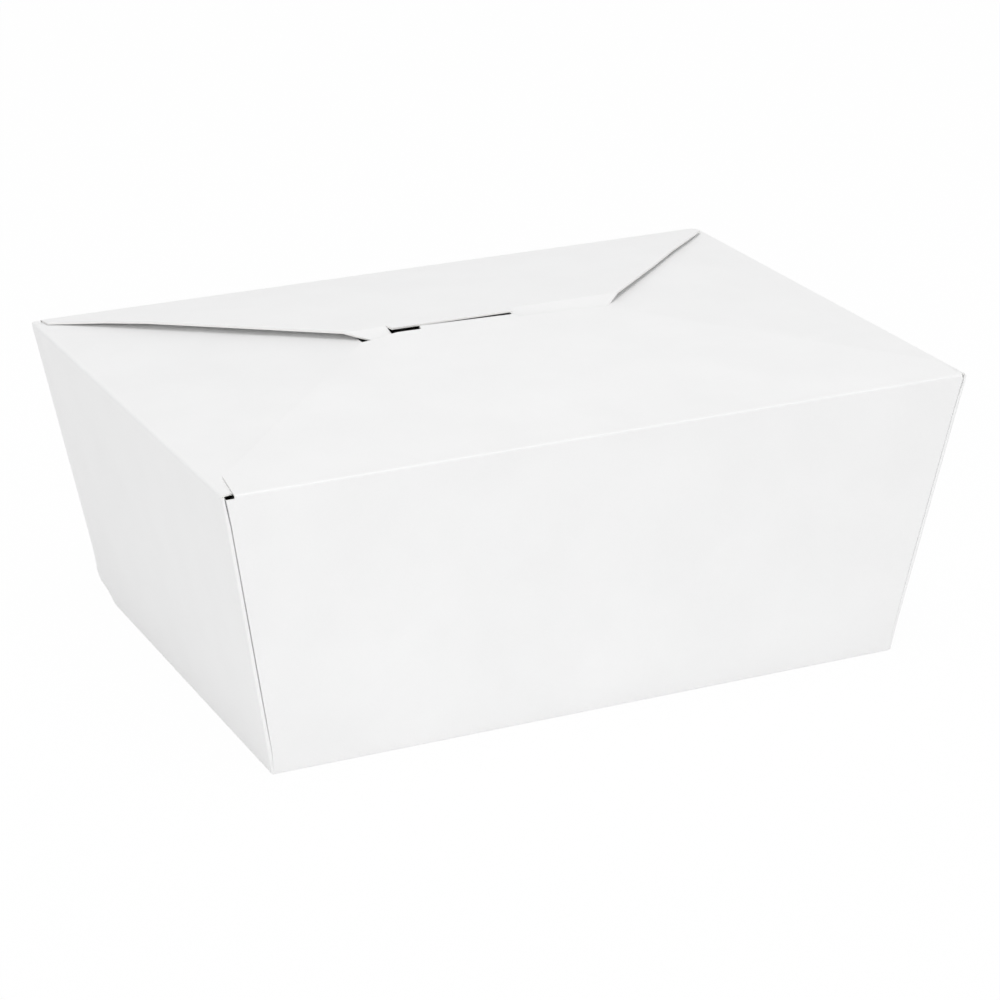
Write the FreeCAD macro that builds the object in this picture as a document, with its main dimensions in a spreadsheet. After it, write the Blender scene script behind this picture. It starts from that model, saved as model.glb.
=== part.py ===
import FreeCAD, Part
import os

# Takeout food box: one folded sheet of coated board, with its front lid flap on a crease hinge.
# Frame: origin at the centre of the base, +X along the length, -Y to the front, +Z up. Millimetres.
os.makedirs("parts", exist_ok=True)
doc = FreeCAD.newDocument("takeout_food_box")

SIZES = {
    "board": (0.5, "thickness of the coated board"),
    "fold_radius": (0.6, "outside radius of every crease"),
    "base_length": (197, "base, along X, outside"),
    "base_width": (143, "base, along Y, outside"),
    "top_length": (228, "rim, along X, outside"),
    "top_width": (165, "rim, along Y, outside"),
    "wall_height": (88, "height of the rim above the table"),
    "ply_gap": (0.15, "air between two plies folded on each other"),
    "web_drop": (2.5, "corner webs end this far below the rim, along the wall"),
    "seam_start": (1.5, "corner seams begin this far above the base"),
    "corner_length": (2.8, "cut-out at each rim corner, along X"),
    "corner_width": (1.6, "cut-out at each rim corner, along Y"),
    "corner_depth": (1.4, "cut-out at each rim corner, downwards"),
    "end_tilt": (4.4, "rise of the end flaps, degrees"),
    "end_reach": (2, "end flaps, past the free edge corners of the front flap"),
    "end_inset": (2, "end flaps, root corners in from the rim corners"),
    "end_tip": (52, "end flaps, width of the free edge"),
    "lap_gap": (0.12, "air between flaps that lie on each other"),
    "rear_root_inset": (2.6, "rear flap, root corners in from the rim corners"),
    "rear_relief_depth": (8.5, "rear flap, length of the steep cuts beside the root"),
    "rear_relief_inset": (3.2, "rear flap, inset where the steep cuts end"),
    "rear_left_inset": (71.6, "cross crease, left end, in from the rim end"),
    "rear_right_inset": (66, "cross crease, right end, in from the rim end"),
    "strip_length": (16, "strip beyond the cross crease"),
    "strip_gap": (0.3, "air between the strip and the front flap over it"),
    "lip_margin": (14.2, "lip, in from the left end of the cross crease"),
    "lip_width": (37.8, "lip, along the cross crease"),
    "lip_length": (6.2, "lip, beyond the cross crease"),
    "lip_rise": (1.6, "lip's end, above the face of the front flap"),
    "lip_gap": (0.3, "air between the lip and the tab's bend"),
    "slit_gap": (0.15, "air beside the lip's cut ends"),
    "front_tilt": (4.6, "rise of the front flap, degrees"),
    "front_root_inset": (3, "front flap, root corners in from the rim corners"),
    "front_relief_depth": (12.5, "front flap, length of the steep cuts beside the root"),
    "front_relief_inset": (4.6, "front flap, inset where the steep cuts end"),
    "front_depth": (84, "front flap, from its root to the free edge"),
    "front_tip_inset": (74.5, "front flap, free edge corners in from the rim ends"),
    "hinge_gap": (0.3, "air between the front flap and its hinge bead"),
    "tab_reach": (1.6, "tab, from the front flap's free edge to its bend"),
    "tab_margin": (9, "tab, in from the left end of the lip"),
    "tab_width": (27.7, "tab, along the free edge"),
    "tab_taper": (0.6, "tab, narrower at its bend on each side"),
    "tuck_length": (8, "tab, beyond its bend"),
    "tuck_lean": (3, "lean of the tucked tab towards the front, degrees"),
}

sheet = doc.addObject("Spreadsheet::Sheet", "sizes")
for row, (alias, (value, meaning)) in enumerate(SIZES.items(), start=1):
    sheet.set(f"A{row}", alias)
    sheet.set(f"B{row}", str(value))
    sheet.set(f"C{row}", meaning)
    sheet.setAlias(f"B{row}", alias)
doc.recompute()

# Each side has a frame on its crease at the rim: X along the crease, Y towards the middle, Z up.
# The turn is about Z, and reach is the distance from the box's middle to the crease.
LENGTH_RUN = "((sizes.top_length - sizes.base_length) / 2)"
WIDTH_RUN = "((sizes.top_width - sizes.base_width) / 2)"
SIDES = {
    "front": {"turn": 0, "reach": "sizes.top_width / 2", "run": WIDTH_RUN},
    "rear": {"turn": 180, "reach": "sizes.top_width / 2", "run": WIDTH_RUN},
    "left": {"turn": -90, "reach": "sizes.top_length / 2", "run": LENGTH_RUN},
    "right": {"turn": 90, "reach": "sizes.top_length / 2", "run": LENGTH_RUN},
}


def bind(item, **formulas):
    """Tie properties of an object to formulas on the sheet."""
    for name, formula in formulas.items():
        item.setExpression(name, str(formula))
    return item


def lean(side):
    """Angle by which a side's wall leans out."""
    return f"atan({SIDES[side]['run']} / sizes.wall_height)"


def on_side(side, place="vector(0; 0; 0)", turn="rotation(vector(1; 0; 0); 0)"):
    """A placement given in a side's crease frame."""
    yaw = f"rotation(vector(0; 0; 1); {SIDES[side]['turn']})"
    crease = f"vector(0; -({SIDES[side]['reach']}); sizes.wall_height)"
    return f"placement(vector(0; 0; 0); {yaw}) * placement({crease} + {place}; {turn})"


def about_x(angle):
    return f"rotation(vector(1; 0; 0); {angle})"


def slab(name, across, across_far, along, through, placement):
    """A plate or block: X limits at its near and far end, Y limits and Z limits."""
    item = doc.addObject("Part::Wedge", name)
    low, high = through
    bind(item, Xmin=across[0], Xmax=across[1], X2min=across_far[0], X2max=across_far[1])
    bind(item, Ymin=along[0], Ymax=along[1], Zmin=low, Zmax=high, Z2min=low, Z2max=high)
    return bind(item, Placement=placement)


def cylinder_along_x(name, radius, start, end, side, place):
    """A round bar parallel to a side's crease, through a point of the crease frame."""
    item = doc.addObject("Part::Cylinder", name)
    bind(item, Radius=radius, Height=f"({end}) - ({start})")
    shift = f"{place} + vector({start}; 0; 0)"
    return bind(item, Placement=on_side(side, shift, "rotation(vector(0; 1; 0); 90)"))


def joined(name, items):
    item = doc.addObject("Part::MultiFuse", name)
    item.Shapes = items
    return item


def shared(name, items):
    item = doc.addObject("Part::MultiCommon", name)
    item.Shapes = items
    return item


def minus(name, body, tool):
    item = doc.addObject("Part::Cut", name)
    item.Base = body
    item.Tool = tool
    return item


PLATE = ("-sizes.board", "0")

# Where the flaps meet. The rear flap is placed so that the lip ends just behind the tab's bend.
HALF = "sizes.top_length / 2"
FRONT_TILT = "(sizes.front_tilt * 1 deg)"
FRONT_COS = f"cos({FRONT_TILT})"
TAB_DEPTH = "(sizes.front_depth + sizes.tab_reach)"
LIP_FROM_FRONT = f"({TAB_DEPTH} * {FRONT_COS} + sizes.lip_gap)"
LIP_FROM_REAR = f"(sizes.top_width - {LIP_FROM_FRONT})"
REAR_TILT = f"atan(({LIP_FROM_FRONT} * tan({FRONT_TILT}) + sizes.lip_rise) / {LIP_FROM_REAR})"
REAR_COS = f"cos({REAR_TILT})"
LIP_END = f"({LIP_FROM_REAR} / {REAR_COS})"
REAR_CREASE = f"({LIP_END} - sizes.lip_length)"
LEFT_END = f"({HALF} - sizes.rear_left_inset)"
RIGHT_END = f"({HALF} - sizes.rear_right_inset)"
LIP_LEFT = f"({LEFT_END} - sizes.lip_margin)"
LIP_RIGHT = f"(sizes.lip_width - {LIP_LEFT})"
TAB_LEFT = f"({LIP_LEFT} - sizes.tab_margin)"
TAB_RIGHT = f"(sizes.tab_width - {TAB_LEFT})"
TILTS = {
    "front": FRONT_TILT,
    "rear": REAR_TILT,
    "left": "(sizes.end_tilt * 1 deg)",
    "right": "(sizes.end_tilt * 1 deg)",
}


def tub():
    """Base and four leaning walls, with rounded creases outside, open at the rim."""
    upright = "placement(vector(0; 0; 0); rotation(vector(1; 0; 0); 90))"
    outside = doc.addObject("Part::Wedge", "tub_outside")
    hollow = doc.addObject("Part::Wedge", "tub_hollow")
    for axis, base, top, side in (
        ("X", "sizes.base_length", "sizes.top_length", "left"),
        ("Z", "sizes.base_width", "sizes.top_width", "front"),
    ):
        outer_rim = f"({top} / 2 - sizes.fold_radius * tan({lean(side)}))"
        thick = f"sizes.board / cos({lean(side)})"
        inner_base = f"({base} / 2 + sizes.board * tan({lean(side)}) - {thick})"
        inner_rim = f"({top} / 2 - {thick})"
        far = f"{axis}2"
        bind(outside, **{f"{axis}min": f"-{base} / 2", f"{axis}max": f"{base} / 2"})
        bind(outside, **{f"{far}min": f"-{outer_rim}", f"{far}max": outer_rim})
        bind(hollow, **{f"{axis}min": f"-{inner_base}", f"{axis}max": inner_base})
        bind(hollow, **{f"{far}min": f"-{inner_rim}", f"{far}max": inner_rim})
    bind(outside, Ymin="0", Ymax="sizes.wall_height - sizes.fold_radius", Placement=upright)
    bind(hollow, Ymin="sizes.board", Ymax="sizes.wall_height", Placement=upright)
    doc.recompute()

    rim = outside.Shape.BoundBox.ZMax
    radius = float(sheet.get("fold_radius"))
    skin = doc.addObject("Part::Fillet", "tub_skin")
    skin.Base = outside
    skin.Edges = [
        (number, radius, radius)
        for number, edge in enumerate(outside.Shape.Edges, start=1)
        if edge.BoundBox.ZMin < rim / 2
    ]
    return minus("tub_walls", skin, hollow)


def corner_web(side, end):
    """One corner's web, folded double against the end wall, and the two narrow gaps between its plies.

    X limits are in the end wall's own plane, Y up its slope from the base, Z out of the box.
    """
    run = SIDES[side]["run"]
    slope = f"(sizes.wall_height / cos({lean(side)}))"
    front_slope = f"(sizes.wall_height / cos({lean('front')}))"
    end_flare = f"atan({WIDTH_RUN} / {slope})"
    front_flare = f"atan({LENGTH_RUN} / {front_slope})"
    crease_angle = f"((90 deg - {end_flare} - {front_flare}) / 2 - {end_flare})"
    wall_turn = about_x(f"90 deg + {lean(side)}")
    placement = on_side(side, f"vector(0; {run}; -sizes.wall_height)", wall_turn)
    web_top = f"({slope} - sizes.web_drop)"

    def edge(height):
        return f"(sizes.base_width / 2 + {WIDTH_RUN} * {height} / {slope})"

    def crease(height):
        return f"(sizes.base_width / 2 - {height} * tan({crease_angle}))"

    def triangle(name, inner_shift, outer_shift, low, high, depth):
        limits = []
        for height in (low, high):
            near = f"({crease(height)} + {inner_shift})"
            outer = f"({edge(height)} + {outer_shift})"
            limits.append((near, outer) if end > 0 else (f"-{outer}", f"-{near}"))
        return slab(name, limits[0], limits[1], (low, high), depth, placement)

    corner = f"{side}_{'a' if end > 0 else 'b'}"
    first_gap = ("-(sizes.board + sizes.ply_gap)", "-sizes.board")
    second_gap = (
        "-2 * (sizes.board + sizes.ply_gap)",
        "-(2 * sizes.board + sizes.ply_gap)",
    )
    whole = ("-(3 * sizes.board + 2 * sizes.ply_gap)", "-sizes.board / 2")
    past_top = f"({web_top} + sizes.web_drop)"
    web = triangle(f"web_{corner}", "-sizes.board", "-sizes.board / 2", "0", web_top, whole)
    behind = triangle(
        f"fold_gap_{corner}", "-3 * sizes.board", "-sizes.board", "6 * sizes.board", past_top, first_gap
    )
    seam = triangle(
        f"seam_{corner}", "sizes.board", "2 * sizes.board", "sizes.seam_start", past_top, second_gap
    )
    return web, [behind, seam]


def rim_notch(x_sign, y_sign):
    """Cut-out at a corner of the rim, where four creases meet."""
    corner = f"{'right' if x_sign > 0 else 'left'}_{'rear' if y_sign > 0 else 'front'}"
    notch = doc.addObject("Part::Box", f"rim_notch_{corner}")
    overlap = "sizes.fold_radius"
    bind(notch, Length=f"sizes.corner_length + {overlap}", Width=f"sizes.corner_width + {overlap}")
    bind(notch, Height=f"sizes.corner_depth + {overlap}")
    if x_sign > 0:
        x = "sizes.top_length / 2 - sizes.corner_length"
    else:
        x = f"-sizes.top_length / 2 - {overlap}"
    if y_sign > 0:
        y = "sizes.top_width / 2 - sizes.corner_width"
    else:
        y = f"-sizes.top_width / 2 - {overlap}"
    z = "sizes.wall_height - sizes.corner_depth"
    return bind(notch, Placement=f"placement(vector({x}; {y}; {z}); rotation(vector(0; 0; 1); 0))")


def fold_angle(side):
    """Angle inside the box between a wall and its flap."""
    return f"({TILTS[side]} + 90 deg - {lean(side)})"


def bead_place(side):
    """Centre of the crease bead that touches the outer face of a wall and of its flap."""
    reach = f"sizes.fold_radius / sin({fold_angle(side)} / 2)"
    angle = f"({TILTS[side]} - {fold_angle(side)} / 2)"
    return f"vector(0; {reach} * cos({angle}); {reach} * sin({angle}))"


def rim_bead(side):
    """Rounded crease along the rim. Its ends stop at the corner cut-outs."""
    along = "length" if side in ("front", "rear") else "width"
    half = f"(sizes.top_{along} / 2 - sizes.corner_{along})"
    return cylinder_along_x(
        f"{side}_bead", "sizes.fold_radius", f"-{half}", half, side, bead_place(side)
    )


def under_roof(side, name, lowered):
    """Block below an end flap's face and below the front and rear flaps that lie over it."""
    drop = f"vector(0; 0; -({lowered}))"
    below = f"vector(0; 0; -(sizes.board + sizes.lap_gap + {lowered}))"
    wide = ("-sizes.top_length", "sizes.top_length")
    span = ("-sizes.board", "sizes.top_length")
    depth = ("-sizes.wall_height / 2", "0")
    blocks = []
    for cover, place in ((side, drop), ("front", below), ("rear", below)):
        face = on_side(cover, place, about_x(TILTS[cover]))
        blocks.append(slab(f"{name}_under_{cover}", wide, wide, span, depth, face))
    return shared(name, blocks)


def end_flap(side):
    """End flap: flat where it shows, bent down along two lines under the front and rear flaps."""
    face = under_roof(side, f"{side}_face", "0")
    inner = under_roof(side, f"{side}_inner", "sizes.board")
    layer = minus(f"{side}_layer", face, inner)
    root = "(sizes.top_width / 2 - sizes.end_inset)"
    tip = "sizes.end_tip / 2"
    tall = ("-sizes.wall_height / 4", "sizes.wall_height / 2")
    outline = slab(
        f"{side}_outline",
        (f"-{root}", root),
        (f"-{tip}", tip),
        ("sizes.fold_radius", "sizes.front_tip_inset + sizes.end_reach"),
        tall,
        on_side(side),
    )
    return shared(f"{side}_flap", [layer, outline])


def rear_flap():
    """Rear flap with its cross crease, the strip that bends down, and the lip cut out of the strip.

    Seen from the rear wall, X runs to the left, so left limits are the positive ones.
    """
    flat = on_side("rear", turn=about_x(REAR_TILT))
    root = f"({HALF} - sizes.rear_root_inset)"
    relief = f"({HALF} - sizes.rear_relief_inset)"
    steep = ("sizes.fold_radius", "sizes.rear_relief_depth")
    slanted = ("sizes.rear_relief_depth", REAR_CREASE)
    crease_ends = (f"-{RIGHT_END}", LEFT_END)
    lip_ends = (f"-{LIP_RIGHT}", LIP_LEFT)
    lip_along = (f"{REAR_CREASE} - sizes.board", LIP_END)
    parts = [
        slab("rear_root", (f"-{root}", root), (f"-{relief}", relief), steep, PLATE, flat),
        slab("rear_panel", (f"-{relief}", relief), crease_ends, slanted, PLATE, flat),
        slab("rear_lip", lip_ends, lip_ends, lip_along, PLATE, flat),
    ]

    crease_rise = f"{REAR_CREASE} * sin({REAR_TILT})"
    fall = (
        f"({crease_rise} - sizes.front_depth * sin({FRONT_TILT})"
        f" + sizes.board * {FRONT_COS} + sizes.strip_gap)"
    )
    reach = f"(sizes.top_width - {REAR_CREASE} * {REAR_COS} - sizes.front_depth * {FRONT_COS})"
    strip_angle = f"atan({fall} / {reach})"
    bend_near = f"({TAB_DEPTH} - 2 * sizes.board) * {FRONT_COS}"
    to_bend = f"(sizes.top_width - {REAR_CREASE} * {REAR_COS} - {bend_near})"
    opening_length = f"({to_bend} + sizes.strip_gap) / cos({strip_angle})"

    crease_point = f"vector(0; {REAR_CREASE} * {REAR_COS}; {crease_rise})"
    bent = on_side("rear", crease_point, about_x(f"-{strip_angle}"))
    strip_ends = (f"-({RIGHT_END} - sizes.strip_length)", f"{LEFT_END} - sizes.strip_length")
    strip_along = ("0", "sizes.strip_length")
    strip = slab("rear_strip_blank", crease_ends, strip_ends, strip_along, PLATE, bent)
    opening_ends = (f"-({LIP_RIGHT} + sizes.slit_gap)", f"{LIP_LEFT} + sizes.slit_gap")
    through = ("-2 * sizes.board", "sizes.board")
    opening = slab("lip_opening", opening_ends, opening_ends, ("0", opening_length), through, bent)
    parts.append(minus("rear_strip", strip, opening))
    return parts


def front_flap():
    """Front flap: tapered panel and the tab whose end is bent down through the lip's opening."""
    flat = on_side("front", turn=about_x(FRONT_TILT))
    bead_centre = f"sizes.fold_radius / tan({fold_angle('front')} / 2)"
    start = f"({bead_centre} + sizes.fold_radius + sizes.hinge_gap)"
    root = f"({HALF} - sizes.front_root_inset)"
    relief = f"({HALF} - sizes.front_relief_inset)"
    tip = f"({HALF} - sizes.front_tip_inset)"
    steep = (start, "sizes.front_relief_depth")
    slanted = ("sizes.front_relief_depth", "sizes.front_depth")

    def tab_ends(tapers):
        narrower = f"{tapers} * sizes.tab_taper"
        return f"-({TAB_LEFT} - {narrower})", f"({TAB_RIGHT} - {narrower})"

    bend = f"({TAB_DEPTH} - sizes.board)"
    tab_along = ("sizes.front_depth", bend)
    parts = [
        slab("front_root", (f"-{root}", root), (f"-{relief}", relief), steep, PLATE, flat),
        slab("front_panel", (f"-{relief}", relief), (f"-{tip}", tip), slanted, PLATE, flat),
        slab("front_tab", tab_ends(0), tab_ends(1), tab_along, PLATE, flat),
    ]
    bend_place = (
        f"vector(0; {bend} * {FRONT_COS} + sizes.board * sin({FRONT_TILT});"
        f" {bend} * sin({FRONT_TILT}) - sizes.board * {FRONT_COS})"
    )
    near, far = tab_ends(1)
    parts.append(cylinder_along_x("tab_bend", "sizes.board", near, far, "front", bend_place))
    down = on_side("front", bend_place, about_x(f"{FRONT_TILT} - 90 deg - sizes.tuck_lean * 1 deg"))
    tuck_along = ("0", "sizes.tuck_length")
    parts.append(slab("tab_tuck", tab_ends(1), tab_ends(3), tuck_along, ("0", "sizes.board"), down))
    flap = joined("front_flap", parts)
    flap.Label = "front_flap"
    return flap


def carton():
    """The folded sheet apart from its front flap."""
    walls = tub()
    webs = []
    gaps = []
    for side in ("left", "right"):
        for end in (-1, 1):
            web, cuts = corner_web(side, end)
            webs.append(web)
            gaps.extend(cuts)
    notches = [rim_notch(x_sign, y_sign) for x_sign in (-1, 1) for y_sign in (-1, 1)]
    webbed = joined("webbed_tub", [walls] + webs)
    folded = minus("folded_tub", webbed, joined("openings_between_plies", gaps + notches))
    beads = [rim_bead(side) for side in SIDES]
    flaps = [end_flap("left"), end_flap("right")] + rear_flap()
    sheet_body = joined("carton", [folded] + beads + flaps)
    sheet_body.Label = "carton"
    return sheet_body


nodes = [carton(), front_flap()]
doc.recompute()

for item in doc.Objects:
    if "Invalid" in item.State or "Error" in item.State:
        raise RuntimeError(f"{item.Name} did not build: {item.State}")
for node in nodes:
    shape = node.Shape
    if shape.isNull() or not shape.isValid():
        raise RuntimeError(f"{node.Label} has no valid shape")
    if len(shape.Solids) != 1:
        raise RuntimeError(f"{node.Label} has {len(shape.Solids)} solids, not one")
    shape.exportStep(f"parts/{node.Label}.step")
    print(node.Label, "volume mm3", round(shape.Volume, 1), "faces", len(shape.Faces))
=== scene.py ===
import math

import bmesh
import bpy
from mathutils import Matrix, Vector


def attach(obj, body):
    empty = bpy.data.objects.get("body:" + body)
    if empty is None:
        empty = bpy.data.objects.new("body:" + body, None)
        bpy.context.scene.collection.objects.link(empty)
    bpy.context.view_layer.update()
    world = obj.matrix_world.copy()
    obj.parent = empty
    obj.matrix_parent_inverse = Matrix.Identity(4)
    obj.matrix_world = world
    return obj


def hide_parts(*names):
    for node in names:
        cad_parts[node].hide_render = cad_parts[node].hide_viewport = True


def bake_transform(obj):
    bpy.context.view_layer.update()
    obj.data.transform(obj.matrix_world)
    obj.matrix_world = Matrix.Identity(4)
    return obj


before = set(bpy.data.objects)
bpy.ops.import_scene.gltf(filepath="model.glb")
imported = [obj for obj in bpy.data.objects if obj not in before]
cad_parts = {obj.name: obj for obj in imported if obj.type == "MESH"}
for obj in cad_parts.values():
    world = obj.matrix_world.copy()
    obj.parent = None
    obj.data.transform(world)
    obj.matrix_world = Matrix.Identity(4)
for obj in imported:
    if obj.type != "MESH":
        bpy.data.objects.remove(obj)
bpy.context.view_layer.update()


# Camera: a long lens a little to the left of the front, looking down on the lid.
# The box stands on the table and shows its front wall, its left end and the closed lid.
view_azimuth = math.radians(-24.845)
view_elevation = math.radians(21.104)
view_roll = math.radians(-0.313)
view_back = Vector((
    math.sin(view_azimuth) * math.cos(view_elevation),
    -math.cos(view_azimuth) * math.cos(view_elevation),
    math.sin(view_elevation),
))
level_right = Vector((math.cos(view_azimuth), math.sin(view_azimuth), 0))
level_up = view_back.cross(level_right)
view_right = math.cos(view_roll) * level_right + math.sin(view_roll) * level_up
view_up = math.cos(view_roll) * level_up - math.sin(view_roll) * level_right
camera_data = bpy.data.cameras.new("camera")
camera_data.lens = 119.35
camera_data.sensor_width = 36
camera_data.clip_start = 0.05
camera_data.clip_end = 20
camera = bpy.data.objects.new("camera", camera_data)
camera.matrix_world = (
    Matrix.Translation((-0.38657, -0.84329, 0.39760))
    @ Matrix((view_right, view_up, view_back)).transposed().to_4x4()
)
bpy.context.scene.collection.objects.link(camera)
bpy.context.scene.camera = camera


# Light: a plain pale tent round the table, with large soft lamps above, in front and at the left.
# The lid gets the most light, then the front wall, and the left end gets the least.
class Flow:
    """A value on its way through a material. Sums and products on it add the Math nodes they need."""

    def __init__(self, tree, socket=None):
        self.tree = tree
        self.socket = socket

    def node(self, kind, settings=None, inputs=None, output=0):
        """Adds a node: its settings or ramp stops first, then the values or links of its sockets."""
        made = self.tree.nodes.new(kind)
        for name, value in (settings or {}).items():
            if name == "stops":
                ramp = made.color_ramp.elements
                while len(ramp) < len(value):
                    ramp.new(0.5)
                for stop, (position, colour) in zip(ramp, value):
                    stop.position = position
                    stop.color = (*colour, 1)
            else:
                setattr(made, name, value)
        for name, value in (inputs or {}).items():
            if isinstance(value, Flow):
                self.tree.links.new(value.socket, made.inputs[name])
            else:
                made.inputs[name].default_value = value
        return Flow(self.tree, made.outputs[output] if made.outputs else None)

    def sum_of(self, operation, first, second):
        return self.node("ShaderNodeMath", {"operation": operation}, {0: first, 1: second})

    def __add__(self, other):
        return self.sum_of("ADD", self, other)

    __radd__ = __add__

    def __sub__(self, other):
        return self.sum_of("SUBTRACT", self, other)

    def __rsub__(self, other):
        return self.sum_of("SUBTRACT", other, self)

    def __mul__(self, other):
        return self.sum_of("MULTIPLY", self, other)

    __rmul__ = __mul__


def seen_plainly(flow):
    """One for rays from the camera, also by way of a shiny or a clear surface, and zero for the light."""
    rays = ("Is Camera Ray", "Is Glossy Ray", "Is Transmission Ray")
    straight, shiny, clear = (flow.node("ShaderNodeLightPath", output=ray) for ray in rays)
    return straight + shiny + clear


white = (1, 1, 1, 1)
bpy.context.scene.view_settings.view_transform = "Standard"
tent = bpy.data.worlds.new("tent")
bpy.context.scene.world = tent
tent.use_nodes = True
tent.node_tree.nodes.clear()
flow = Flow(tent.node_tree)
tent_light = flow.node("ShaderNodeBackground", inputs={"Color": white, "Strength": 0.605})
tent_seen = flow.node("ShaderNodeBackground", inputs={"Color": white, "Strength": 1})
surface = flow.node("ShaderNodeMixShader", inputs={0: seen_plainly(flow), 1: tent_light, 2: tent_seen})
flow.node("ShaderNodeOutputWorld", inputs={"Surface": surface})

box_middle = Vector((0, 0, 0.05))
lamps = (
    # name, watts, size, place
    ("lamp_above", 7.2, 1.2, (0, -0.3, 1.5)),
    ("lamp_front", 1.6, 1.3, (0.3, -1.8, 0.6)),
    ("lamp_left", 3.8, 0.9, (-0.95, -1.15, 0.28)),
)
for name, watts, size, place in lamps:
    lamp_data = bpy.data.lights.new(name, "AREA")
    lamp_data.energy = watts
    lamp_data.shape = "DISK"
    lamp_data.size = size
    lamp = bpy.data.objects.new(name, lamp_data)
    lamp.location = place
    lamp.rotation_euler = (box_middle - Vector(place)).to_track_quat("-Z", "Y").to_euler()
    bpy.context.scene.collection.objects.link(lamp)


# Table: a plain pale sweep of paper, flat out to where the view ends.
# It renders white, and keeps the soft shadow that the box stands in.
def new_material(name):
    """An empty material and the start of its flow."""
    material = bpy.data.materials.new(name)
    material.use_nodes = True
    material.node_tree.nodes.clear()
    return material, Flow(material.node_tree)


table_paper, flow = new_material("table_paper")
lit = flow.node("ShaderNodeBsdfDiffuse", inputs={"Color": (0.99, 0.99, 0.99, 1)})
plain_white = flow.node("ShaderNodeEmission", inputs={"Color": white, "Strength": 1})
surface = flow.node("ShaderNodeMixShader", inputs={0: seen_plainly(flow) * 0.97, 1: lit, 2: plain_white})
flow.node("ShaderNodeOutputMaterial", inputs={"Surface": surface})

bm = bmesh.new()
bmesh.ops.create_grid(bm, x_segments=1, y_segments=1, size=4)
table_mesh = bpy.data.meshes.new("table")
bm.to_mesh(table_mesh)
bm.free()
table_mesh.materials.append(table_paper)
table = bpy.data.objects.new("table", table_mesh)
bpy.context.scene.collection.objects.link(table)


# Board: white paperboard with a smooth, satin coat outside and a wipeable film inside.
# Only the cut edges show its fibres, a little creamier and quite matt.
def board_surface(name, colour, roughness, fibre_depth, coat):
    """One face of the board: faint clouding, fine fibres under the coat and slow waves in the sheet."""
    material, flow = new_material(name)
    place = flow.node("ShaderNodeTexCoord", output="Object")

    def noise(scale, detail):
        settings = {"noise_dimensions": "3D"}
        return flow.node("ShaderNodeTexNoise", settings, {"Vector": place, "Scale": scale, "Detail": detail})

    clouds = noise(45, 3)
    fibres = noise(2600, 4)
    waves = noise(14, 1)
    tone = clouds * 0.6 + fibres * 0.4
    darker = tuple(channel * 0.972 for channel in colour)
    lighter = tuple(min(1, channel * 1.012) for channel in colour)
    shade = flow.node("ShaderNodeValToRGB", {"stops": ((0.3, darker), (0.7, lighter))}, {"Fac": tone})
    height = fibres * fibre_depth + waves * 0.0006
    bump = flow.node("ShaderNodeBump", inputs={"Strength": 1, "Distance": 1, "Height": height})
    surface = flow.node("ShaderNodeBsdfPrincipled", inputs={
        "Base Color": shade,
        "Roughness": roughness + (clouds - 0.5) * 0.12 + (fibres - 0.5) * 0.06,
        "Specular IOR Level": 0.5,
        "Coat Weight": coat,
        "Coat Roughness": 0.3,
        "Normal": bump,
    })
    flow.node("ShaderNodeOutputMaterial", inputs={"Surface": surface})
    return material


coated_face = board_surface("coated_white_face", (0.93, 0.93, 0.93), 0.46, 0.0000015, 0.12)
inside_film = board_surface("inside_film", (0.91, 0.91, 0.905), 0.36, 0.000001, 0.25)
cut_edge = board_surface("cut_board_edge", (0.90, 0.895, 0.88), 0.85, 0.00003, 0)


# Walls, base and corners: one sheet folded up from the base, with no glue.
# Each corner web runs on from the long wall, turns back on itself along a slanting crease and meets
# the end wall in a hairpin. So two plies lie inside each end wall, and a narrow seam shows outside.
board = 0.5
ply_gap = 0.15
base_length, base_width = 197, 143
rim_length, rim_width, rim = 228, 165, 88
wall_top = 86.9
base_fold = 0.6
web_crease_slope = 0.6999
plies_apart_from = 7
seam_open_from = 28
pressed_from = 79
hairpin_bend = 1.05
# at the rim the web's crease ends a little lower than the walls, and the hairpin a little higher
crease_dip, hairpin_rise = 1.4, 0.7
# points that far in keep the flat walls flat beside the folded corner
far_in, near_in = 10, 5
# the two rear corners of the base are not pressed sharp, and bulge a little above that
corner_pull, pull_reach, pull_height = 1.8, 11, 6
corner_bulge, bulge_reach, bulge_height = 0.6, 40, 13


def half_sizes(height):
    """Half the outside length and width of the box at a height."""
    share = height / rim
    half_length = (base_length + share * (rim_length - base_length)) / 2
    half_width = (base_width + share * (rim_width - base_width)) / 2
    return half_length, half_width


def rounded_line(bm, corners, rounding, height, lifts):
    """A line of edges through points given inwards from the box's left and front faces."""
    half_length, half_width = half_sizes(height)
    points = [
        bm.verts.new((x - half_length, y - half_width, height + lift))
        for (x, y), lift in zip(corners, lifts)
    ]
    for pair in zip(points, points[1:]):
        bm.edges.new(pair)
    for number, radius, segments in rounding:
        bmesh.ops.bevel(
            bm, geom=[points[number]], offset=radius, offset_type="OFFSET", segments=segments,
            profile=0.5, affect="VERTICES", material=-1,
        )
    line, end, last = [], points[0], None
    while True:
        onward = [edge for edge in end.link_edges if edge is not last]
        if not onward:
            return line
        last = onward[0]
        line.append(last)
        end = last.other_vert(end)


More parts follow.
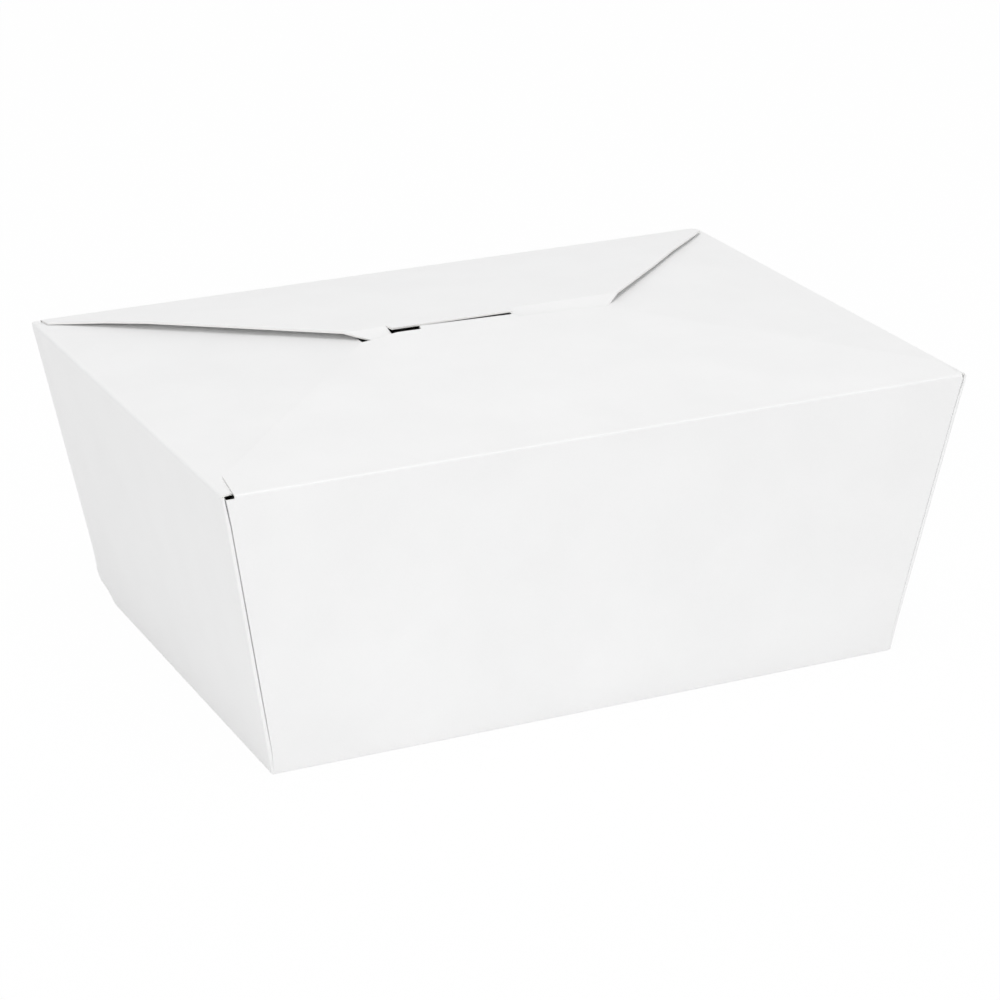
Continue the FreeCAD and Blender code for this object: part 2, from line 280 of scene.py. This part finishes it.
tub = bmesh.new()
outer_lines, inner_lines = [], []
for height in (base_fold, 1.8, 3.2, 5, 8, 12, 17, 30, 58, pressed_from, 82, 84.5, 86, wall_top):
    half_length, half_width = half_sizes(height)
    # near the base the plies run into one fold, and near the rim the hairpin is pressed together
    swell = min(1, 0.05 + 0.95 * (height - base_fold) / (plies_apart_from - base_fold))
    closed = min(1, 0.05 + 0.95 * height / seam_open_from)
    pressed = max(0, (height - pressed_from) / (wall_top - pressed_from))
    ply = board * swell * (1 - 0.8 * pressed)
    gap = ply_gap * swell * (1 - 0.6 * pressed)
    seam = ply_gap * min(swell, closed) + 0.22 * pressed
    crease = web_crease_slope * (height - base_fold) + 0.08
    hairpin_front = 0.02 + 0.13 * swell
    second_ply = board + gap + ply
    first_ply = second_ply + seam
    inside = first_ply + ply
    inner_crease = max(crease + ply, board + 0.04)
    inner_hairpin = min(hairpin_front + board, inner_crease - 0.02)
    room = crease - hairpin_front
    folded = inside - board - gap
    lifts = (0,) * 12
    if height == wall_top:
        lifts = (0, 0, 0, 0, -crease_dip, -crease_dip, hairpin_rise, hairpin_rise, 0, 0, 0, 0)
    outer_lines.append(rounded_line(
        tub,
        [(half_length, 0), (far_in, 0), (near_in, 0), (first_ply, 0), (first_ply, crease),
         (second_ply, crease), (second_ply, hairpin_front), (0, hairpin_front),
         (0, hairpin_front + hairpin_bend), (0, near_in), (0, far_in), (0, half_width)],
        [(3, min(0.45 * closed, 0.4 * crease), 4), (4, min(0.49 * seam, 0.4 * crease), 3),
         (5, min(0.49 * seam, 0.3 * room), 3), (6, min(0.48 * second_ply * closed, 0.45 * room), 5),
         (7, 0.48 * second_ply, 5)],
        height, lifts,
    ))
    inner_lines.append(rounded_line(
        tub,
        [(half_length, board), (far_in, board), (near_in, board), (inside, board), (inside, inner_crease),
         (board + gap, inner_crease), (board + gap, inner_hairpin), (board, inner_hairpin),
         (board, inner_hairpin + hairpin_bend), (board, near_in), (board, far_in), (board, half_width)],
        [(3, min(0.05, 0.3 * (inner_crease - board)), 4),
         (4, min(0.49 * folded, 0.4 * (inner_crease - board)), 3),
         (5, min(0.49 * folded, 0.4 * (inner_crease - inner_hairpin)), 3),
         (6, min(0.49 * gap, 0.4 * (inner_crease - inner_hairpin)), 5), (7, 0.49 * gap, 5)],
        height, lifts,
    ))
for lines in (outer_lines, inner_lines):
    for lower, upper in zip(lines, lines[1:]):
        bmesh.ops.bridge_loops(tub, edges=lower + upper)
rim_faces = bmesh.ops.bridge_loops(tub, edges=outer_lines[-1] + inner_lines[-1])["faces"]
inner_faces = {face for line in inner_lines for edge in line for face in edge.link_faces}
for face in inner_faces:
    face.material_index = 1
for face in rim_faces:
    face.material_index = 2
for axis in ("X", "Y"):
    whole = tub.verts[:] + tub.edges[:] + tub.faces[:]
    bmesh.ops.mirror(tub, geom=whole, matrix=Matrix.Identity(4), merge_dist=0.0001, axis=axis)


def bottom_loop(bm, inner):
    """The open edges at the foot of the outer or the inner skin."""
    return [
        edge for edge in bm.edges
        if edge.is_boundary
        and max(point.co.z for point in edge.verts) < base_fold + 0.01
        and (edge.link_faces[0].material_index == 1) == inner
    ]


half_length, half_width = half_sizes(base_fold)
for inner, radius, steps in ((False, base_fold, 5), (True, 0.1, 2)):
    loop = bottom_loop(tub, inner)
    for step in range(1, steps + 1):
        angle = math.pi / 2 * step / steps
        grown = bmesh.ops.extrude_edge_only(tub, edges=loop)["geom"]
        points = [item for item in grown if isinstance(item, bmesh.types.BMVert)]
        inset = radius * (math.cos(angle - math.pi / 2 / steps) - math.cos(angle))
        bmesh.ops.scale(tub, vec=(1 - inset / half_length, 1 - inset / half_width, 1), verts=points)
        for point in points:
            point.co.z = base_fold - radius * math.sin(angle)
        new_points = set(points)
        loop = [edge for point in points for edge in point.link_edges if edge.other_vert(point) in new_points]
        loop = list(dict.fromkeys(loop))
    face = bmesh.ops.contextual_create(tub, geom=loop)["faces"][0]
    face.material_index = 1 if inner else 0
bmesh.ops.remove_doubles(tub, verts=tub.verts, dist=0.0005)
bmesh.ops.recalc_face_normals(tub, faces=tub.faces)
for point in tub.verts:
    half_length, half_width = half_sizes(point.co.z)
    from_corner = math.hypot(half_length - abs(point.co.x), half_width - point.co.y)
    if from_corner < pull_reach and point.co.z < pull_height:
        pull = corner_pull * (1 - from_corner / pull_reach) ** 1.5 * (1 - point.co.z / pull_height)
        point.co.x -= math.copysign(pull, point.co.x)
        point.co.y -= pull
    if from_corner < bulge_reach and 0 < point.co.z < bulge_height:
        swelling = math.sin(math.pi * point.co.z / bulge_height)
        bulge = corner_bulge * (1 - from_corner / bulge_reach) ** 2 * swelling
        point.co.x += math.copysign(bulge, point.co.x)


def board_piece(name, bm, shell=False):
    """Makes a piece of board from a mesh in millimetres; an open sheet gets its thickness inwards."""
    bmesh.ops.scale(bm, vec=(0.001, 0.001, 0.001), verts=bm.verts)
    for face in bm.faces:
        face.smooth = True
    mesh = bpy.data.meshes.new(name)
    bm.to_mesh(mesh)
    bm.free()
    for material in (coated_face, inside_film, cut_edge):
        mesh.materials.append(material)
    piece = bpy.data.objects.new(name, mesh)
    bpy.context.scene.collection.objects.link(piece)
    if shell:
        thick = piece.modifiers.new("board", "SOLIDIFY")
        thick.thickness = board * 0.001
        thick.offset = -1
        thick.use_even_offset = True
        thick.use_quality_normals = True
        thick.material_offset = 1
        thick.material_offset_rim = 2
        seen_now = bpy.context.evaluated_depsgraph_get()
        solid = bpy.data.meshes.new_from_object(piece.evaluated_get(seen_now))
        piece.modifiers.clear()
        piece.data = solid
        solid.name = name
    piece.data.set_sharp_from_angle(angle=math.radians(32))
    even = piece.modifiers.new("even_shading", "WEIGHTED_NORMAL")
    even.keep_sharp = True
    even.weight = 100
    return piece


tub_piece = board_piece("walls_and_base", tub)
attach(tub_piece, "carton_body")
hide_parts("carton")


# End flaps: part of the same sheet, folded in first over the creases at the two ends.
# They lie flat where they show, and dip under the front and rear flaps that are folded over them.
lap = 0.58
dip_run = 0.8
leans = {
    "long": math.atan((rim_width - base_width) / 2 / rim),
    "end": math.atan((rim_length - base_length) / 2 / rim),
}
front_tilt = math.radians(4.6)
rear_tilt = math.radians(6.1045)
end_crease_radius, long_crease_radius = 0.9, 0.6
end_root = (-81.3, 81.3)


def over_crease(lean, tilt, radius, low, high):
    """Starts a flap in its side's own frame: x along the crease, y towards the middle, z up from the rim.

    The sheet comes up the top of its wall and turns over the crease. Its free edges are given back.
    """
    sheet = bmesh.new()
    fold = math.pi / 2 + tilt - lean
    tangent = radius / math.tan(fold / 2)
    reach = radius / math.sin(fold / 2)
    below = (rim - wall_top) / math.cos(lean)
    start = [sheet.verts.new((x, below * math.sin(lean), -below * math.cos(lean))) for x in (low, high)]
    edges = pulled(sheet, [sheet.edges.new(start)], below - tangent, math.pi / 2 + lean)
    centre = (0, reach * math.cos(tilt - fold / 2), reach * math.sin(tilt - fold / 2))
    return sheet, turned(sheet, edges, centre, fold - math.pi, 8), tangent


def turned(sheet, edges, centre, angle, steps):
    """Carries a row of edges round a line along x, and gives the new row."""
    points = list(dict.fromkeys(point for edge in edges for point in edge.verts))
    last = bmesh.ops.spin(
        sheet, geom=edges + points, cent=centre, axis=(1, 0, 0), angle=angle, steps=steps, dvec=(0, 0, 0),
    )["geom_last"]
    return [item for item in last if isinstance(item, bmesh.types.BMEdge)]


def pulled(sheet, edges, length, slope, low=None, high=None):
    """Extrudes a row of edges at a slope, out to the x limits of its new ends, and gives the new row."""
    grown = bmesh.ops.extrude_edge_only(sheet, edges=edges)["geom"]
    points = [item for item in grown if isinstance(item, bmesh.types.BMVert)]
    bmesh.ops.translate(sheet, vec=(0, length * math.cos(slope), length * math.sin(slope)), verts=points)
    if low is not None:
        first = min(point.co.x for point in points)
        last = max(point.co.x for point in points)
        for point in points:
            point.co.x = low + (point.co.x - first) / (last - first) * (high - low)
    new_points = set(points)
    return [
        item for item in grown
        if isinstance(item, bmesh.types.BMEdge) and new_points.issuperset(item.verts)
    ]


def to_box(sheet, turn, reach):
    """Turns a flap from its side's own frame into the box's, with its outside up."""
    place = Matrix.Rotation(math.radians(turn), 4, "Z") @ Matrix.Translation((0, -reach, rim))
    bmesh.ops.transform(sheet, matrix=place, verts=sheet.verts)
    bmesh.ops.recalc_face_normals(sheet, faces=sheet.faces)
    if sum(face.normal.z * face.calc_area() for face in sheet.faces) < 0:
        bmesh.ops.reverse_faces(sheet, faces=sheet.faces)


def cut_across(sheet, axis, places):
    """Cuts new edges into a sheet, square to an axis, where it will bend."""
    for place in places:
        bmesh.ops.bisect_plane(
            sheet, geom=sheet.verts[:] + sheet.edges[:] + sheet.faces[:],
            plane_co=place * Vector(axis), plane_no=axis, dist=0.0001,
        )


def eased(value, start, end):
    """Goes from 0 at the start to 1 at the end, gently at both."""
    share = min(1, max(0, (value - start) / (end - start)))
    return share * share * (3 - 2 * share)


for side, turn, tilt, front_start, rear_start in (
    ("left", -90, 4.4, 2.9, 2.1), ("right", 90, 5.0, 0.9, 1.3),
):
    end_tilt = math.radians(tilt)
    sheet, row, at = over_crease(leans["end"], end_tilt, end_crease_radius, *end_root)
    outline = (
        (1.3, 81.2), (1.7, 81.15), (2.1, 81.1), (2.5, 81.05), (2.9, 81), (3.3, 80.7), (3.7, 80.3),
        (5, 79.2), (76, 26),
    )
    for depth, half in outline:
        row = pulled(sheet, row, depth - at, end_tilt, -half, half)
        at = depth
    to_box(sheet, turn, rim_length / 2)
    outward = -1 if side == "left" else 1
    slope, front_slope, rear_slope = map(math.tan, (end_tilt, front_tilt, rear_tilt))
    for cover_slope, facing in ((front_slope, -1), (rear_slope, 1)):
        # where the flap's own face meets the face lying a lap below the cover
        hip_y = facing * rim_width / 2
        hip_point = (outward * rim_length / 2, hip_y - facing * lap / cover_slope, rim)
        hip_normal = (-outward * slope, facing * cover_slope, 0)
        bmesh.ops.bisect_plane(
            sheet, geom=sheet.verts[:] + sheet.edges[:] + sheet.faces[:],
            plane_co=hip_point, plane_no=hip_normal, dist=0.001,
        )
    for point in sheet.verts:
        in_from_end = rim_length / 2 - abs(point.co.x)
        own = rim + in_from_end * slope
        under_front = rim + (rim_width / 2 + point.co.y) * front_slope - lap
        under_rear = rim + (rim_width / 2 - point.co.y) * rear_slope - lap
        dip = own - min(own, under_front, under_rear)
        start = front_start if point.co.y < 0 else rear_start
        point.co.z -= dip * eased(in_from_end, start, start + dip_run)
    piece = board_piece(f"{side}_end_flap", sheet, shell=True)
    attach(piece, "carton_body")
    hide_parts("carton")


# Rear flap: folded over the end flaps, and creased across near its free edge.
# Beyond the crease a strip bends down, and a three-sided cut leaves a lip that stands almost straight on.
rear_root = (-111.8, 110.9)
rear_crease = 73.628
crease_low, crease_high = -48, 42.4
lip_low, lip_high = -10.4, 28.4
slit = 0.15
lip_length = 4.8
lip_slope = rear_tilt + math.radians(1.6)
strip_slope = math.radians(-13.208)
strip_length = 16
opening = 7.97
crease_step = 0.25
left_edge_lift, right_corner_lift = 1.6, 0.7

sheet, row, at = over_crease(leans["long"], rear_tilt, long_crease_radius, *rear_root)
for depth, low, high in (
    (0.9, *rear_root), (6.9, -111.2, 110.7), (8.5, -110.6, 108.4), (20, -99.5, 96.7),
    (30, -89.5, 86.6), (45, -75.5, 71.4), (rear_crease, crease_low, crease_high),
):
    row = pulled(sheet, row, depth - at, rear_tilt, low, high)
    at = depth
cut_across(sheet, (1, 0, 0), (lip_low - slit, lip_low, lip_high, lip_high + slit))
crease_y = rear_crease * math.cos(rear_tilt)


def edges_between(bm, row_y, low, high):
    """Edges along a row between two x limits."""
    return [
        edge for edge in bm.edges
        if all(abs(point.co.y - row_y) < 0.001 and low - 0.001 < point.co.x < high + 0.001
               for point in edge.verts)
    ]


lip_root = edges_between(sheet, crease_y, lip_low, lip_high)
wings = [
    edges_between(sheet, crease_y, crease_low, lip_low - slit),
    edges_between(sheet, crease_y, lip_high + slit, crease_high),
]
pulled(sheet, lip_root, lip_length, lip_slope)
turn_step = (rear_tilt - strip_slope) / 3
ends = []
for side, wing in enumerate(wings):
    low, high = ((crease_low, lip_low - slit), (lip_high + slit, crease_high))[side]
    for length, slope in (
        (crease_step, rear_tilt - turn_step), (crease_step, rear_tilt - 2 * turn_step),
        (opening - 2 * crease_step, strip_slope), (strip_length - opening, strip_slope),
    ):
        if side == 0:
            low += length
        else:
            high -= length
        wing = pulled(sheet, wing, length, slope, low, high)
    inner_x = high if side == 0 else low
    last = [point for edge in wing for point in edge.verts if abs(point.co.x - inner_x) < 0.001][0]
    ends.append([
        edge for edge in last.link_edges if abs(edge.other_vert(last).co.x - inner_x) < 0.001
    ][0])
bmesh.ops.bridge_loops(sheet, edges=ends)
to_box(sheet, 180, rim_width / 2)
for point in sheet.verts:
    # the flap stands a little high along its left edge, and at its right near the corner
    depth = rim_width / 2 - point.co.y
    from_right = (rim_length / 2 - point.co.x) / rim_length
    left_lift = left_edge_lift * eased(depth, 3, 30) * max(0, 1 - (depth / rear_crease) ** 2)
    right_lift = right_corner_lift * eased(depth, 1, 9) * (1 - eased(depth, 15, 60))
    point.co.z += left_lift * from_right + right_lift * (1 - from_right)
rear_piece = board_piece("rear_flap", sheet, shell=True)
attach(rear_piece, "carton_body")
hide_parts("carton")


# Front flap: folded over last. Its tab bends down behind the lip and holds the lid shut.
# It opens on the crease along the top of the front wall.
front_root = (-110.4, 112.2)
front_depth = 84
free_half = 39.5
steep_depth, steep_half = 12.5, 109.7
tab_low, tab_high = -20.6, 10.9
tab_depth = 86.8
tab_bend = 0.56
tab_taper, tuck_taper = 0.6, 1.8
tuck_length = 8
tuck_lean = math.radians(3)
bow_height = 1.5
bow_peak = -0.68

sheet, row, at = over_crease(leans["long"], front_tilt, long_crease_radius, *front_root)
for depth, low, high in (
    (0.9, *front_root), (steep_depth, -109.2, 110.3), (front_depth, -free_half, free_half),
):
    row = pulled(sheet, row, depth - at, front_tilt, low, high)
    at = depth
cut_across(sheet, (1, 0, 0), (
    -90, -70, -55, -45, -37, -34, -31, -28, -24, tab_low, -14, -7, 0, tab_high, 16, 24, 32, 45, 60, 80,
))
cut_across(sheet, (0, 1, 0), (25, 40, 52, 62, 70, 77))
end_y = front_depth * math.cos(front_tilt)
bend_from = tab_depth - tab_bend
row = edges_between(sheet, end_y, tab_low, tab_high)
row = pulled(
    sheet, row, bend_from - front_depth, front_tilt, tab_low + tab_taper, tab_high - tab_taper,
)
bend_centre = (
    0,
    bend_from * math.cos(front_tilt) + tab_bend * math.sin(front_tilt),
    bend_from * math.sin(front_tilt) - tab_bend * math.cos(front_tilt),
)
row = turned(sheet, row, bend_centre, -math.pi / 2 - tuck_lean, 6)
pulled(
    sheet, row, tuck_length, front_tilt - math.pi / 2 - tuck_lean,
    tab_low + tuck_taper, tab_high - tuck_taper,
)
for point in sheet.verts:
    # the tab pushes the free edge up, most at its left, and the flap bows with it
    along = (point.co.y - steep_depth) / (end_y - steep_depth)
    half_here = steep_half + (free_half - steep_half) * along
    across = max(-1, min(1, point.co.x / half_here))
    bow = bow_height * eased(across, -1, bow_peak) * min(1, (1 - across) / (1 - bow_peak)) ** 0.8
    point.co.z += bow * eased(point.co.y, 0, end_y)
to_box(sheet, 0, rim_width / 2)
front_piece = board_piece("front_flap_sheet", sheet, shell=True)
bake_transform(front_piece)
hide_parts("front_flap")
